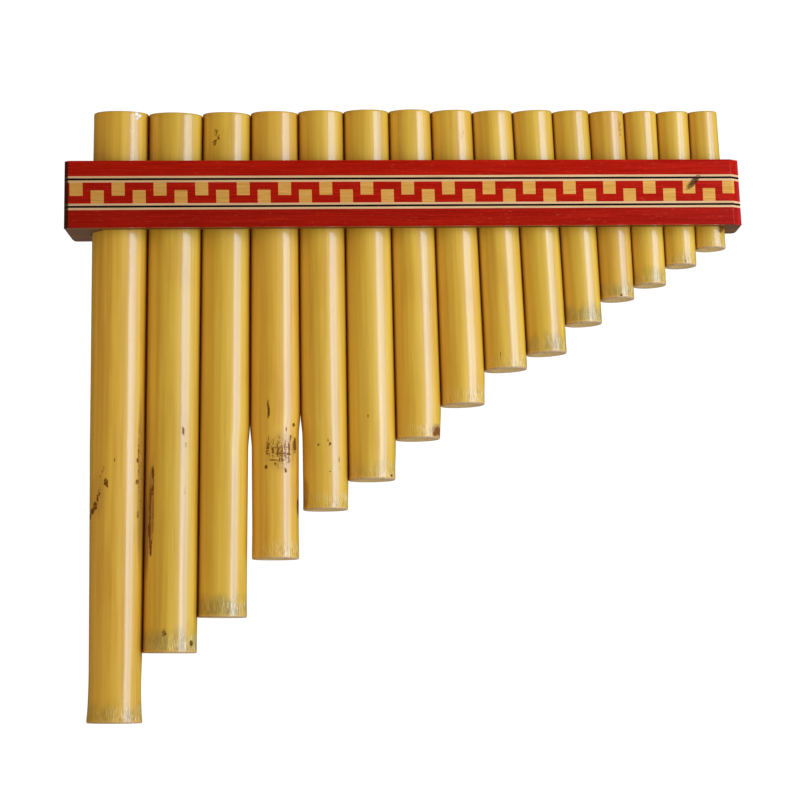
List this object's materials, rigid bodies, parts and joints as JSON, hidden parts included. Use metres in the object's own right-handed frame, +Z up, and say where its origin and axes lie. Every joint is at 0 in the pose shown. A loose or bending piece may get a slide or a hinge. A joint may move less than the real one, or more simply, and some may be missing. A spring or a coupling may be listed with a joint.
{
  "type": "pan flute",
  "caption": "Row of closed bamboo pipes of falling length, fanned slightly and held between two wooden collar boards with a red key-pattern marquetry front.",
  "frame": {"origin": "centre of the back board's rear face", "axes": "+X along the collar from the longest pipe to the shortest, +Y out of the plain back, +Z up towards the mouths"},
  "size_m": [0.2415, 0.0277, 0.2149],
  "materials": {
    "bamboo": "clear gloss lacquer over straw-coloured bamboo",
    "beeswax": "soft, slightly translucent wax",
    "collar_wood": "bare oiled wood",
    "red_wood": "red stain under gloss lacquer",
    "pale_wood": "natural veneer under gloss lacquer",
    "thread_wood": "pale veneer thread under gloss lacquer",
    "black_wood": "black dyed veneer thread under gloss lacquer"
  },
  "bodies": {
    "root": {"pipe_01": "bamboo", "pipe_02": "bamboo", "pipe_03": "bamboo", "pipe_04": "bamboo", "pipe_05": "bamboo", "pipe_06": "bamboo", "pipe_07": "bamboo", "pipe_08": "bamboo", "pipe_09": "bamboo", "pipe_10": "bamboo", "pipe_11": "bamboo", "pipe_12": "bamboo", "pipe_13": "bamboo", "pipe_14": "bamboo", "pipe_15": "bamboo", "tuning_wax_01": "beeswax", "tuning_wax_02": "beeswax", "tuning_wax_03": "beeswax", "tuning_wax_04": "beeswax", "tuning_wax_05": "beeswax", "tuning_wax_06": "beeswax", "tuning_wax_07": "beeswax", "tuning_wax_08": "beeswax", "tuning_wax_09": "beeswax", "tuning_wax_10": "beeswax", "tuning_wax_11": "beeswax", "tuning_wax_12": "beeswax", "tuning_wax_13": "beeswax", "tuning_wax_14": "beeswax", "tuning_wax_15": "beeswax", "back_board": "collar_wood", "front_board": "collar_wood", "end_block_long": "collar_wood", "end_block_short": "collar_wood", "red_rail_upper": "red_wood", "red_rail_lower": "red_wood", "key_path": "red_wood", "keys_upper": "pale_wood", "keys_lower": "pale_wood", "pale_threads_upper": "thread_wood", "pale_threads_lower": "thread_wood", "black_thread_upper": "black_wood", "black_thread_lower": "black_wood"}
  },
  "joints": []
}
